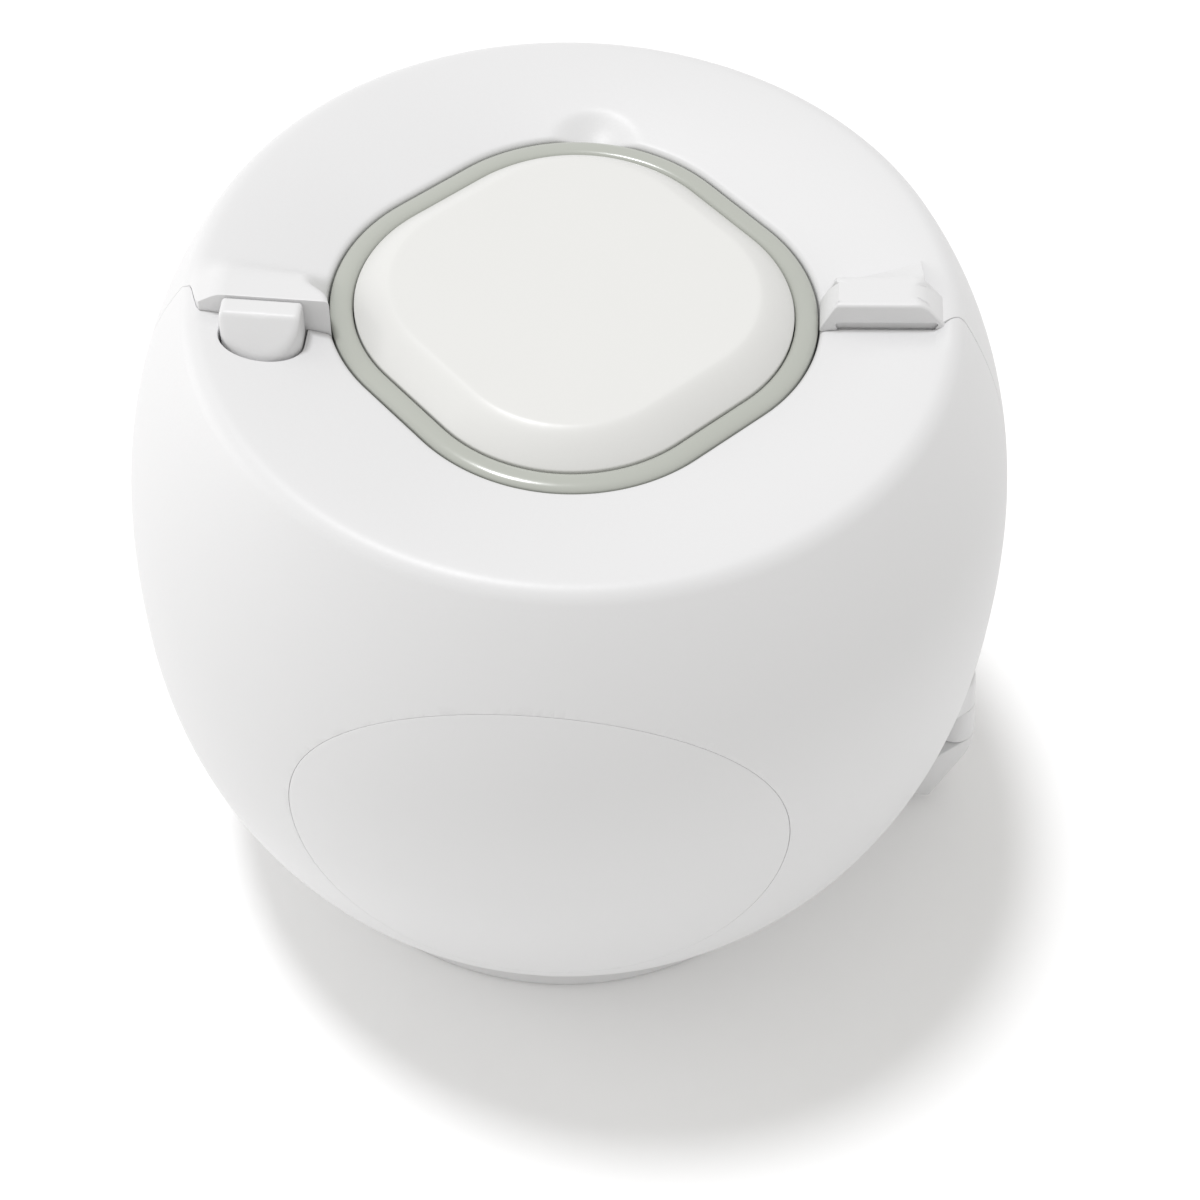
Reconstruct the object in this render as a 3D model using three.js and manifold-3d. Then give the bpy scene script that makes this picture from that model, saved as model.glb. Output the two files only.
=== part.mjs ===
// Child-proof door knob cover with a decoy push button.
// Two half shells hinge round a door knob and latch at the left; the cover then turns freely on the
// knob until the two oval pads are squeezed. Millimetres, +Z up. The origin is the centre of the
// neck's lower end, on the knob's axis. The halves part on the plane Y = 0: the front one is at -Y.

import * as THREE from 'three';
import { mergeVertices } from 'three/addons/utils/BufferGeometryUtils.js';
import Module from 'manifold-3d';

const wasm = await Module();
wasm.setup();

// ---- driving dimensions ----
const gap = 0.3; // air between neighbouring pieces
const outerRadius = 40; // widest part of the barrel-shaped body
const height = 68; // neck's lower end to the face's rim
const widestHeight = 36;
const wall = 2.2;
const upperReach = 49.2; // heights over which the body's curve would close, and its fullness
const upperFullness = 2.45;
const lowerReach = 43.6;
const lowerFullness = 2.2;
const rimRound = 2;
const rimSlope = THREE.MathUtils.degToRad(31);
const dishDepth = 1.8; // the face falls this far from its rim to the button's hole
const neckRadius = 28.7;
const neckHeight = 5.2;
const neckOpening = 20;
const holeHalfSide = 19.25; // rounded-square hole for the ring and button, corners on the X and Y axes
const holeCorner = 15.5;
const buttonTravel = 2.5;
const buttonTop = 68.4;
const hingeX = 40.1; // the hinge axis runs along Z, just outside the widest part
const knuckleRadius = 2.2;
const hingePinRadius = 0.8;
const latchX = -25.3; // middle of the release tab
const latchPivotY = 13;
const latchPivotHeight = 62.2;
const housingFront = -5.4; // front wall of the latch housing
const raisedTop = 69.9; // top of the latch housing
const barFront = -1.2; // front wall of the catch bar
const barTop = 69.3; // at the bar's left end; it rises to the right with the face
const barSlope = Math.atan(0.09);
const padHeight = 38; // centre of the oval pads
const padHalfWidth = 21.3;
const padHalfHeight = 20.3;
const padTravel = 2.5;
const strapScrewAngle = THREE.MathUtils.degToRad(50);
const screwAngles = [45, 90, 135].map(THREE.MathUtils.degToRad);
const cupScrewRadius = 26.5; // distance of the cup's screws from the Z axis
const roundSegments = 48;
const pinSegments = 12;

// ---- derived dimensions ----
const ceiling = height - dishDepth - wall; // flat underside of the face
const holeTop = height - dishDepth;
const cupTop = ceiling - 0.4;
const cupFloor = 55.2;
const cupFloorTop = cupFloor + 1.4;
const far = 100; // beyond the object in every direction

// ---- solids from three.js geometry ----

// A closed geometry as a manifold solid.
function solid(geometry) {
  geometry.deleteAttribute('normal');
  geometry.deleteAttribute('uv');
  const merged = mergeVertices(geometry);
  const index = merged.index.array;
  const triangles = [];
  for (let i = 0; i < index.length; i += 3) {
    const [a, b, c] = index.subarray(i, i + 3);
    if (a !== b && b !== c && c !== a) triangles.push(a, b, c);
  }
  return new wasm.Manifold(new wasm.Mesh({
    numProp: 3,
    vertProperties: new Float32Array(merged.attributes.position.array),
    triVerts: new Uint32Array(triangles),
  }));
}

function geometryOf(manifold) {
  const mesh = manifold.getMesh();
  const geometry = new THREE.BufferGeometry();
  geometry.setAttribute('position', new THREE.BufferAttribute(mesh.vertProperties, 3));
  geometry.setIndex(new THREE.BufferAttribute(mesh.triVerts, 1));
  return geometry;
}

function box([x0, x1], [y0, y1], [z0, z1]) {
  const geometry = new THREE.BoxGeometry(x1 - x0, y1 - y0, z1 - z0);
  geometry.translate((x0 + x1) / 2, (y0 + y1) / 2, (z0 + z1) / 2);
  return solid(geometry);
}

// A profile of [radius, height] points, from the axis round to the axis, turned about Z.
function turned(points, segments = roundSegments) {
  const profile = points.map(([r, z]) => new THREE.Vector2(r, z));
  const geometry = new THREE.LatheGeometry(profile, segments);
  geometry.rotateX(Math.PI / 2);
  return solid(geometry);
}

function rod(radius, [z0, z1], [x, y], segments = pinSegments) {
  const geometry = new THREE.CylinderGeometry(radius, radius, z1 - z0, segments);
  geometry.rotateX(Math.PI / 2);
  geometry.translate(x, y, (z0 + z1) / 2);
  return solid(geometry);
}

function rodAlongX(radius, [x0, x1], [y, z], segments = pinSegments) {
  const geometry = new THREE.CylinderGeometry(radius, radius, x1 - x0, segments);
  geometry.rotateZ(Math.PI / 2);
  geometry.translate((x0 + x1) / 2, y, z);
  return solid(geometry);
}

function polygon(points) {
  return new THREE.Shape(points.map(([x, y]) => new THREE.Vector2(x, y)));
}

function extruded(shape, [z0, z1]) {
  const geometry = new THREE.ExtrudeGeometry(shape, {
    depth: z1 - z0, bevelEnabled: false, curveSegments: 12,
  });
  geometry.translate(0, 0, z0);
  return solid(geometry);
}

// An outline in Y and Z, extruded along X.
function alongX(points, [x0, x1]) {
  const geometry = new THREE.ExtrudeGeometry(polygon(points), { depth: x1 - x0, bevelEnabled: false });
  geometry.rotateY(Math.PI / 2);
  geometry.rotateX(Math.PI / 2);
  geometry.translate(x0, 0, 0);
  return geometry;
}

function extrudedAlongX(points, ends) {
  return solid(alongX(points, ends));
}

// An outline in X and Z, extruded along Y.
function extrudedAlongY(shape, [y0, y1]) {
  const geometry = new THREE.ExtrudeGeometry(shape, {
    depth: y1 - y0, bevelEnabled: false, curveSegments: 24,
  });
  geometry.rotateX(Math.PI / 2);
  geometry.translate(0, y1, 0);
  return solid(geometry);
}

// The rounded square of the hole, inset all round, with its corners on the X and Y axes.
function squareShape(inset) {
  const half = holeHalfSide - inset;
  const corner = holeCorner - inset;
  const shape = new THREE.Shape();
  for (let turn = 0; turn < 4; turn += 1) {
    const angle = turn * Math.PI / 2;
    const middle = angle + Math.PI / 4;
    const reach = (half - corner) * Math.SQRT2;
    shape.absarc(
      reach * Math.cos(middle), reach * Math.sin(middle), corner, angle, angle + Math.PI / 2, false,
    );
  }
  return shape;
}

function squarePrism(inset, [z0, z1]) {
  const geometry = new THREE.ExtrudeGeometry(squareShape(inset), {
    depth: z1 - z0, bevelEnabled: false, curveSegments: 6,
  });
  geometry.rotateZ(Math.PI / 4);
  geometry.translate(0, 0, z0);
  return solid(geometry);
}

// The same, with its upper and lower edges rounded inwards by roundIn over roundHeight.
function softSquarePrism(inset, [z0, z1], roundIn, roundHeight, bevelSegments) {
  const geometry = new THREE.ExtrudeGeometry(squareShape(inset), {
    depth: z1 - z0 - 2 * roundHeight,
    curveSegments: 6,
    bevelThickness: roundHeight,
    bevelSize: roundIn,
    bevelOffset: -roundIn,
    bevelSegments,
  });
  geometry.rotateZ(Math.PI / 4);
  geometry.translate(0, 0, z0 + roundHeight);
  return solid(geometry);
}

// ---- the barrel-shaped body ----

function bodyRadius(z) {
  const rise = z - widestHeight;
  const [reach, fullness] = rise > 0 ? [upperReach, upperFullness] : [lowerReach, lowerFullness];
  return outerRadius * Math.sqrt(1 - (Math.abs(rise) / reach) ** fullness);
}

// Heights at which the body's curve is sampled.
function bodyHeights(from, to) {
  const step = 5;
  const heights = [];
  for (let z = Math.ceil(from / step) * step; z < to; z += step) {
    if (z > from) heights.push(z);
  }
  return [from, ...heights, to];
}

// The body's outer form made smaller by an inset, between two heights.
function bodySlice(inset, from, to) {
  const side = bodyHeights(from, to).map((z) => [bodyRadius(z) - inset, z]);
  return turned([[0, from], ...side, [0, to]]);
}

function outerForm() {
  const sideTop = height - rimRound * (1 - Math.sin(rimSlope));
  const rimCentre = bodyRadius(sideTop) - rimRound * Math.cos(rimSlope);
  const side = bodyHeights(neckHeight + 0.4, sideTop).map((z) => [bodyRadius(z), z]);
  const rimArc = [0.5, 1].map((t) => {
    const angle = THREE.MathUtils.lerp(rimSlope, Math.PI / 2, t);
    return [rimCentre + rimRound * Math.cos(angle), height - rimRound * (1 - Math.sin(angle))];
  });
  const dishEdge = (holeHalfSide - holeCorner) * Math.SQRT2 + holeCorner;
  return turned([
    [0, 0], [neckRadius, 0], [neckRadius, neckHeight], ...side, ...rimArc,
    [dishEdge, holeTop], [0, holeTop],
  ]);
}

function cavityForm() {
  const floor = neckHeight + wall;
  const side = bodyHeights(floor, ceiling).map((z) => [bodyRadius(z) - wall, z]);
  const neckInside = neckRadius - wall;
  return turned([
    [0, -1], [neckOpening, -1], [neckOpening, wall], [neckInside, wall], [neckInside, floor - 1],
    ...side, [0, ceiling],
  ]);
}

function hollowBody() {
  return outerForm().subtract(cavityForm()).subtract(squarePrism(0, [ceiling - 1, far]));
}

// ---- grip pads: an oval window in each half shell ----

function ovalPrism(grow, [y0, y1]) {
  const shape = new THREE.Shape();
  shape.absellipse(0, -padHeight, padHalfWidth + grow, padHalfHeight + grow, 0, 2 * Math.PI, false, 0);
  const geometry = new THREE.ExtrudeGeometry(shape, {
    depth: y1 - y0, bevelEnabled: false, curveSegments: 20,
  });
  geometry.rotateX(-Math.PI / 2);
  geometry.translate(0, y0, 0);
  return solid(geometry);
}

const padSide = [-far, -12]; // the front pad's pieces lie at -Y
const flangeOuterInset = wall + gap;
const padInnerInset = 3.7;
const stemOffset = 12.5; // the two stems lie this far above and below the pad's centre
const stemHalfWidth = 5;
const stemHalfHeight = 3;
const stemEnd = -31.8;
const rubberThickness = 1.7;
const flangeReach = 1.3; // the flange behind the shell's wall, beyond the oval

function gripPad() {
  const reach = padHalfHeight + 3.7;
  const [low, high] = [padHeight - reach, padHeight + reach];
  const inner = bodySlice(padInnerInset, low - 1, high + 1);
  const plate = bodySlice(0, low, high).subtract(inner).intersect(ovalPrism(0, padSide));
  const flange = bodySlice(flangeOuterInset, low, high)
    .subtract(inner)
    .intersect(ovalPrism(flangeReach, padSide));
  const stems = [-1, 1].map((side) => box(
    [-stemHalfWidth, stemHalfWidth],
    [-outerRadius + padInnerInset - 0.8, stemEnd],
    [padHeight + side * stemOffset - stemHalfHeight, padHeight + side * stemOffset + stemHalfHeight],
  ));
  return plate.add(flange).add(stems[0]).add(stems[1]);
}

function gripRubber(side) {
  const middle = padHeight + side * stemOffset;
  return box(
    [-stemHalfWidth, stemHalfWidth],
    [stemEnd + gap, stemEnd + gap + rubberThickness],
    [middle - stemHalfHeight, middle + stemHalfHeight],
  );
}

const strapHalfHeight = 4.5;
const strapOuterInset = padInnerInset + padTravel + 1.9;
const strapThickness = 1.5;
const footHalfWidth = 3;
const footOuter = outerRadius - wall - 0.5;
const strapScrewShank = 0.9;
const strapScrewHead = 2;
const strapScrewHeadThickness = 1.1;
const strapScrewDepth = 38.7; // distance of the screw's tip from the axis

// A solid turned by an angle about Z.
function swung(manifold, angle) {
  const geometry = geometryOf(manifold);
  geometry.rotateZ(angle);
  return solid(geometry);
}

// A rod that points from the axis towards -Y, between two distances from the axis.
function radialRod(radius, [near, outer]) {
  const geometry = new THREE.CylinderGeometry(radius, radius, outer - near, pinSegments);
  geometry.translate(0, -(near + outer) / 2, padHeight);
  return solid(geometry);
}

function padStrap() {
  const [low, high] = [padHeight - strapHalfHeight, padHeight + strapHalfHeight];
  const inner = outerRadius - strapOuterInset - strapThickness;
  const halfSpan = inner * Math.sin(strapScrewAngle);
  let strap = bodySlice(strapOuterInset, low, high)
    .subtract(bodySlice(strapOuterInset + strapThickness, low - 1, high + 1))
    .intersect(box([-halfSpan, halfSpan], [-far, 0], [low, high]));
  for (const side of [-1, 1]) {
    const foot = box([-footHalfWidth, footHalfWidth], [-footOuter, -inner - 0.2], [low, high]);
    const hole = radialRod(strapScrewShank + gap, [inner - 2, outerRadius]);
    strap = strap.add(swung(foot, side * strapScrewAngle)).subtract(swung(hole, side * strapScrewAngle));
  }
  return strap;
}

function strapScrewHole(side) {
  return swung(radialRod(strapScrewShank + gap, [outerRadius - wall - 1, strapScrewDepth + gap]),
    side * strapScrewAngle);
}

function strapScrew(side) {
  const seat = outerRadius - strapOuterInset - strapThickness - 0.2 - gap;
  const head = radialRod(strapScrewHead, [seat - strapScrewHeadThickness, seat]);
  const shank = radialRod(strapScrewShank, [seat - 0.2, strapScrewDepth]);
  return swung(head.add(shank), side * strapScrewAngle);
}

// ---- hinge: two front knuckles, one rear knuckle between them, on one pin ----

const hingeTop = 18.6;
const rearKnuckle = [8.8, 14];
const hingeBottom = 1.5;
const pinEnds = [6, 15.2];
const knuckleWebStart = 26;
const knuckleShoulder = [hingeX - 1.6, -4]; // the front knuckles' corner in front of the barrel
const topTaper = [0.4, 1.1, 1.8]; // how far the top knuckle's outer edge is set in: foot, shoulder, crown
const crownHeight = 1.1;
const undersideRise = 5.2; // the lowest knuckle's underside rises this much towards its outer edge

// The web's outline seen from above; side is -1 for the front half and +1 for the rear half.
function webOutline(side) {
  const inner = side * gap / 2;
  if (side > 0) {
    return [[knuckleWebStart, inner], [hingeX, inner], [hingeX, knuckleRadius], [knuckleWebStart, knuckleRadius]];
  }
  const [shoulderX, shoulderY] = knuckleShoulder;
  const reach = Math.hypot(shoulderX - hingeX, shoulderY);
  const tangent = Math.atan2(shoulderY, shoulderX - hingeX) + Math.acos(knuckleRadius / reach);
  return [
    [knuckleWebStart, inner], [knuckleWebStart, shoulderY], [shoulderX, shoulderY],
    [hingeX + knuckleRadius * Math.cos(tangent), knuckleRadius * Math.sin(tangent)], [hingeX, inner],
  ];
}

function knuckle(side, [z0, z1]) {
  const web = extruded(polygon(webOutline(side)), [z0, z1]);
  const body = web.add(rod(knuckleRadius, [z0, z1], [hingeX, 0]));
  return body.subtract(bodySlice(wall / 2, neckHeight, hingeTop + 1));
}

// What the front knuckles lose: the top one's outer edge tapers, the lowest one's underside slants.
function hingeBevels() {
  const edge = hingeX + knuckleRadius;
  const [foot, shoulder, crown] = topTaper;
  const top = extrudedAlongY(polygon([
    [edge - foot, rearKnuckle[1]], [edge - shoulder, hingeTop - crownHeight], [edge - crown, hingeTop],
    [edge - crown, far], [far, far], [far, rearKnuckle[1]],
  ]), [-far, far]);
  const slantStart = knuckleShoulder[0];
  const slantTop = hingeBottom + undersideRise;
  const underside = extrudedAlongY(polygon([
    [slantStart, hingeBottom], [edge, slantTop], [far, slantTop], [far, -far], [slantStart, -far],
  ]), [-far, far]);
  return top.add(underside);
}

function hingePinHole() {
  return rod(hingePinRadius + gap, [0, pinEnds[1] + gap], [hingeX, 0]);
}

// ---- latch ----

const headHalfWidth = 3.35;
const headBack = housingFront - gap;
const headFront = -9.8;
const notchFront = headFront - gap;
const latchPinRadius = 0.6;
const armTop = latchPivotHeight + 0.2;
const armThickness = 1.4;
const armHalfWidth = 2.5;
const barrelRadius = 1.5;
const headTop = raisedTop - 0.1;

// The D-shaped outline of the tab's head, straight at the housing and round at the front.
function headShape(grow, back, front) {
  const half = headHalfWidth + grow;
  const shape = new THREE.Shape();
  const shoulder = front + half * 0.75;
  shape.moveTo(latchX + half, back);
  shape.lineTo(latchX - half, back);
  shape.lineTo(latchX - half, shoulder);
  shape.absellipse(latchX, shoulder, half, shoulder - front, Math.PI, 2 * Math.PI, false, 0);
  return shape;
}

function latchTab() {
  const width = [latchX - armHalfWidth, latchX + armHalfWidth];
  const arm = box(width, [headFront - 2.3, latchPivotY], [armTop - armThickness, armTop]);
  const barrel = rodAlongX(barrelRadius, width, [latchPivotY, latchPivotHeight]);
  const slope = extrudedAlongX([
    [headBack, armTop - 0.5], [headBack, headTop - 0.3], [headBack - 0.3, headTop],
    [headBack - 1.8, headTop], [headFront + 0.4, holeTop + 1.2], [headFront, holeTop + 0.5],
    [headFront, armTop - 0.5],
  ], [latchX - 5, latchX + 5]);
  const head = extruded(headShape(0, headBack, headFront), [armTop - 0.5, headTop]).intersect(slope);
  const pinHole = rodAlongX(
    latchPinRadius + gap, [latchX - 5, latchX + 5], [latchPivotY, latchPivotHeight],
  );
  return arm.add(barrel).add(head).subtract(pinHole);
}

const lugInner = armHalfWidth + gap;
const lugOuter = lugInner + 1.2;

function latchLugs() {
  const lugs = [-1, 1].map((side) => {
    const edges = [latchX + side * lugInner, latchX + side * lugOuter].sort((a, b) => a - b);
    return box(edges, [latchPivotY - 2.2, latchPivotY + 2.2], [latchPivotHeight - 2, ceiling + 0.5]);
  });
  const hole = rodAlongX(
    latchPinRadius + gap, [latchX - 6, latchX + 6], [latchPivotY, latchPivotHeight],
  );
  return lugs[0].add(lugs[1]).subtract(hole);
}

// The raised housing over the latch, on the rear half: a ridge with a steep front wall.
function latchHousing() {
  const ridge = extrudedAlongX([
    [housingFront, ceiling], [housingFront, raisedTop - 0.4], [housingFront + 0.4, raisedTop],
    [-2.9, raisedTop], [1, holeTop + 0.6], [1, ceiling],
  ], [-33, -20]);
  const leftEnd = extrudedAlongY(polygon([
    [-31.8, ceiling], [-31.8, 67.3], [-30, raisedTop], [-19, raisedTop], [-19, ceiling],
  ]), [-far, far]);
  const plan = extruded(polygon([
    [-33, housingFront], [-19.3, housingFront], [-21.4, -2.9], [-21.4, 1], [-33, 1],
  ]), [ceiling, raisedTop]);
  return ridge.intersect(leftEnd).intersect(plan).subtract(squarePrism(0, [ceiling - 1, far]));
}

// The face region that the rear half takes over in front of the parting plane, under the housing.
function housingRegion(grow) {
  return box([-32.8 - grow, -19], [housingFront - grow, 1], [ceiling - grow, far]);
}

// ---- catch bar on the rear half, and the front half's tongue under the rear half's face ----

const barEnds = [20.7, 31.4];
const barFlat = [21.8, 29]; // ends of the bar's level top
const barBack = 2.1;
const mouthEnds = [22, 30.2]; // slot in the bar's front wall
const mouthHeights = [barTop - 2.7, barTop - 2];
const pocketEnds = [22.4, 30.8];
const tongueTop = ceiling + 1.7;
const rampEnd = 5.6;

// Tilts a solid's geometry up to the right, as the face rises there.
function tilted(geometry) {
  geometry.translate(-barFlat[0], 0, -barTop);
  geometry.rotateY(-barSlope);
  geometry.translate(barFlat[0], 0, barTop);
  return geometry;
}

// A bar whose front wall stands on the parting line, with a ramp behind it down to the face.
function catchBar() {
  const lower = holeTop - 0.3;
  const section = [
    [barFront, lower], [barFront, barTop - 0.3], [barFront + 0.3, barTop], [barBack - 0.3, barTop],
    [barBack, barTop - 0.3], [barBack, lower],
  ];
  const ridge = solid(tilted(alongX(section, [barEnds[0] - 1, barEnds[1] + 1])));
  const ends = extrudedAlongY(polygon([
    [barEnds[0], ceiling], [barEnds[0], barTop - 1.7], [barFlat[0], far], [barFlat[1], far],
    [barFlat[1], barTop + 0.7], [barEnds[1], holeTop + 1.9], [barEnds[1], ceiling],
  ]), [-far, far]);
  const ramp = extrudedAlongX([
    [barBack - 0.5, lower], [barBack - 0.5, barTop - 0.2], [barBack, barTop - 0.2], [rampEnd, holeTop + 1],
    [rampEnd, lower],
  ], barFlat);
  return ridge.intersect(ends).add(ramp).subtract(squarePrism(0, [ceiling - 1, far]));
}

// The face region that the rear half takes over in front of Y = 0, under the bar.
function barRegion(grow) {
  return box([19, 32.4 + grow], [barFront - grow, 1], [ceiling - grow, far]);
}

function mouth() {
  const [low, high] = mouthHeights;
  const depth = 0.9;
  const section = [[-far, low], [-far, high], [barFront + depth, high], [barFront + depth, low]];
  return solid(tilted(alongX(section, mouthEnds)));
}

function tonguePocket() {
  return box(pocketEnds, [-far, 1.6], [ceiling - 0.5, tongueTop + 0.45]);
}

function tongue() {
  return box([pocketEnds[0] + 0.4, pocketEnds[1] - 0.4], [barFront - 2, 1.2], [ceiling, tongueTop]);
}

// ---- half shells ----

const bossRadius = 2.6;
const earTop = 58.9;
const earBottom = 57.4;
const screwShank = 1;
const screwTip = 63;

function aroundAxis(angle, radius) {
  return [radius * Math.cos(angle), radius * Math.sin(angle)];
}

// A shallow round hollow behind the hole's far corner.
const scallopRadius = 6;
const scallopCentre = [0.3, 19.4, 71.2];

function thumbScallop() {
  const geometry = new THREE.SphereGeometry(scallopRadius, 24, 16);
  geometry.translate(...scallopCentre);
  return solid(geometry);
}

function rearShell() {
  let shell = hollowBody().intersect(box([-far, far], [gap / 2, far], [-far, far]));
  shell = shell.add(hollowBody().intersect(housingRegion(0))).add(latchHousing());
  shell = shell.add(hollowBody().intersect(barRegion(0))).add(catchBar());
  shell = shell.subtract(mouth()).subtract(tonguePocket()).subtract(thumbScallop());
  for (const angle of screwAngles) {
    const at = aroundAxis(angle, cupScrewRadius);
    shell = shell.add(rod(bossRadius, [earTop + gap, ceiling + 0.5], at));
    shell = shell.subtract(rod(screwShank + gap, [earTop, screwTip + gap], at));
  }
  shell = shell.add(latchLugs());
  shell = shell.subtract(swung(ovalPrism(gap, padSide), Math.PI));
  for (const side of [-1, 1]) shell = shell.subtract(swung(strapScrewHole(side), Math.PI));
  const frontBands = [[rearKnuckle[1], hingeTop + gap], [hingeBottom - gap, rearKnuckle[0]]];
  for (const band of frontBands) shell = shell.subtract(rod(knuckleRadius + gap, band, [hingeX, 0]));
  return shell.add(knuckle(1, rearKnuckle)).subtract(hingePinHole());
}

function frontShell() {
  let shell = hollowBody().intersect(box([-far, far], [-far, -gap / 2], [-far, far]));
  shell = shell.subtract(housingRegion(gap)).subtract(barRegion(gap));
  shell = shell.add(tongue());
  shell = shell.subtract(extruded(headShape(gap, 0, notchFront), [ceiling - 1, far]));
  shell = shell.add(box([latchX - 2.3, latchX + 2.3], [notchFront - 1.6, notchFront - 0.4],
    [latchPivotHeight + 0.6, ceiling + 0.5]));
  shell = shell.subtract(ovalPrism(gap, padSide));
  for (const side of [-1, 1]) shell = shell.subtract(strapScrewHole(side));
  const rearBand = [rearKnuckle[0] - gap, rearKnuckle[1] + gap];
  shell = shell.subtract(rod(knuckleRadius + gap, rearBand, [hingeX, 0]));
  const knuckles = knuckle(-1, [rearBand[1], hingeTop]).add(knuckle(-1, [hingeBottom, rearBand[0]]));
  return shell.add(knuckles.subtract(hingeBevels())).subtract(hingePinHole());
}

// ---- ring, button and cup ----

const ringInset = gap;
const ringWidth = 1.8;
const cupInset = 0.85; // inner wall of the cup, inset from the hole
const cupGrow = 1.35; // outer wall of the cup, beyond the hole

function bezelRing() {
  const lower = cupTop + gap;
  return softSquarePrism(ringInset, [lower, holeTop - 0.1], 0.4, 0.5, 1)
    .subtract(squarePrism(ringInset + ringWidth, [lower - 1, far]));
}

function decoyButton() {
  const skirt = ringInset + ringWidth + gap;
  const skirtBottom = cupFloorTop + buttonTravel + 0.9;
  const crown = softSquarePrism(skirt, [62, buttonTop], 2.75, 2, 3);
  const body = squarePrism(skirt, [skirtBottom, buttonTop - 2]).add(crown);
  const flange = squarePrism(cupInset + gap, [cupTop - 1.4, cupTop - 0.1]);
  const hollow = squarePrism(skirt + 1.6, [skirtBottom - 1, buttonTop - 3.2]);
  const springPost = rod(3.2, [62.5, buttonTop - 3], [0, 0]);
  return body.add(flange).subtract(hollow).add(springPost);
}

function screwEar(angle) {
  const [x, y] = aroundAxis(angle, cupScrewRadius);
  const halfWidth = 3.2;
  const geometry = new THREE.BoxGeometry(10, 2 * halfWidth, earTop - earBottom);
  geometry.translate(cupScrewRadius - 2, 0, (earTop + earBottom) / 2);
  geometry.rotateZ(angle);
  return solid(geometry).subtract(rod(screwShank + gap, [earBottom - 1, earTop + 1], [x, y]));
}

function buttonCup() {
  const inside = squarePrism(cupInset, [cupFloorTop, far]);
  let cup = squarePrism(-cupGrow, [cupFloor, cupTop]);
  for (const angle of screwAngles) cup = cup.add(screwEar(angle));
  cup = cup.add(box([latchX - 3, -19], [-5, 1], [cupFloor, cupFloorTop]));
  return cup.subtract(inside);
}

function cupScrew(angle) {
  const at = aroundAxis(angle, cupScrewRadius);
  const seat = earBottom - gap;
  return rod(2.4, [seat - 1.2, seat], at).add(rod(screwShank, [seat - 0.2, screwTip], at));
}

// ---- springs ----

class Helix extends THREE.Curve {
  constructor(radius, length, turns) {
    super();
    this.radius = radius;
    this.length = length;
    this.turns = turns;
  }

  getPoint(t, target = new THREE.Vector3()) {
    const angle = 2 * Math.PI * this.turns * t;
    return target.set(this.radius * Math.cos(angle), this.radius * Math.sin(angle), this.length * t);
  }
}

const wireRadius = 0.35;

// A coil spring along Z, standing on the origin.
function coilSpring(radius, length, turns) {
  const wire = new THREE.Shape();
  wire.absarc(0, 0, wireRadius, 0, 2 * Math.PI, false);
  const geometry = new THREE.ExtrudeGeometry(wire, {
    steps: turns * 8,
    curveSegments: 3,
    bevelEnabled: false,
    extrudePath: new Helix(radius, length - 2 * wireRadius, turns),
  });
  geometry.translate(0, 0, wireRadius);
  return solid(geometry);
}

// ---- the scene graph ----

const plastic = (color, roughness) => new THREE.MeshStandardMaterial({ color, roughness, metalness: 0 });
const materials = {
  shell: plastic(0xf2f2f3, 0.45),
  ring: plastic(0xc9cbc2, 0.25),
  button: plastic(0xf0f0ec, 0.35),
  inner: plastic(0xdcdcda, 0.5),
  rubber: plastic(0x6f7173, 0.85),
  steel: new THREE.MeshStandardMaterial({ color: 0xb8babd, roughness: 0.3, metalness: 1 }),
};

const cover = new THREE.Group();

function addPart(name, manifold, material, parent = cover) {
  const mesh = new THREE.Mesh(geometryOf(manifold), material);
  mesh.name = name;
  parent.add(mesh);
  return mesh;
}

addPart('rear_shell', rearShell(), materials.shell);
addPart('front_shell', frontShell(), materials.shell);
addPart('bezel_ring', bezelRing(), materials.ring);
addPart('decoy_button', decoyButton(), materials.button);
addPart('button_cup', buttonCup(), materials.inner);
screwAngles.forEach((angle, i) => addPart(`cup_screw_${i + 1}`, cupScrew(angle), materials.steel));

const springBottom = cupFloorTop + gap;
const buttonSpring = addPart('button_spring', coilSpring(2.4, 62.2 - springBottom, 4), materials.steel);
buttonSpring.position.set(0, 0, springBottom);

addPart('latch_tab', latchTab(), materials.shell);
const latchPin = rodAlongX(
  latchPinRadius, [latchX - lugOuter, latchX + lugOuter], [latchPivotY, latchPivotHeight],
);
addPart('latch_pivot_pin', latchPin, materials.steel);
const latchSpring = addPart('latch_spring', coilSpring(1.6, 60.7 - springBottom, 4), materials.steel);
latchSpring.position.set(latchX, -2, springBottom);

addPart('hinge_pin', rod(hingePinRadius, pinEnds, [hingeX, 0]), materials.steel);

// One pad assembly for each half shell; the rear one is the front one turned half way round.
for (const [half, turn] of [['front', 0], ['rear', Math.PI]]) {
  const side = new THREE.Group();
  side.rotation.z = turn;
  cover.add(side);
  addPart(`${half}_grip_pad`, gripPad(), materials.shell, side);
  addPart(`${half}_upper_rubber`, gripRubber(1), materials.rubber, side);
  addPart(`${half}_lower_rubber`, gripRubber(-1), materials.rubber, side);
  addPart(`${half}_pad_strap`, padStrap(), materials.inner, side);
  addPart(`${half}_strap_screw_1`, strapScrew(-1), materials.steel, side);
  addPart(`${half}_strap_screw_2`, strapScrew(1), materials.steel, side);
  const strapOuter = outerRadius - strapOuterInset;
  const springLength = outerRadius - padInnerInset - strapOuter - 2 * gap;
  const padSpring = addPart(`${half}_pad_spring`, coilSpring(2.4, springLength, 3), materials.steel, side);
  padSpring.rotation.x = Math.PI / 2;
  padSpring.position.set(0, -strapOuter - gap, padHeight);
}

export default cover;
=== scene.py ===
# Looks for the child-proof door knob cover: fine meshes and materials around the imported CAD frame.
# Shapes are worked out in millimetres in the row frame and turned into metres when a mesh is made.

import math

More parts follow.
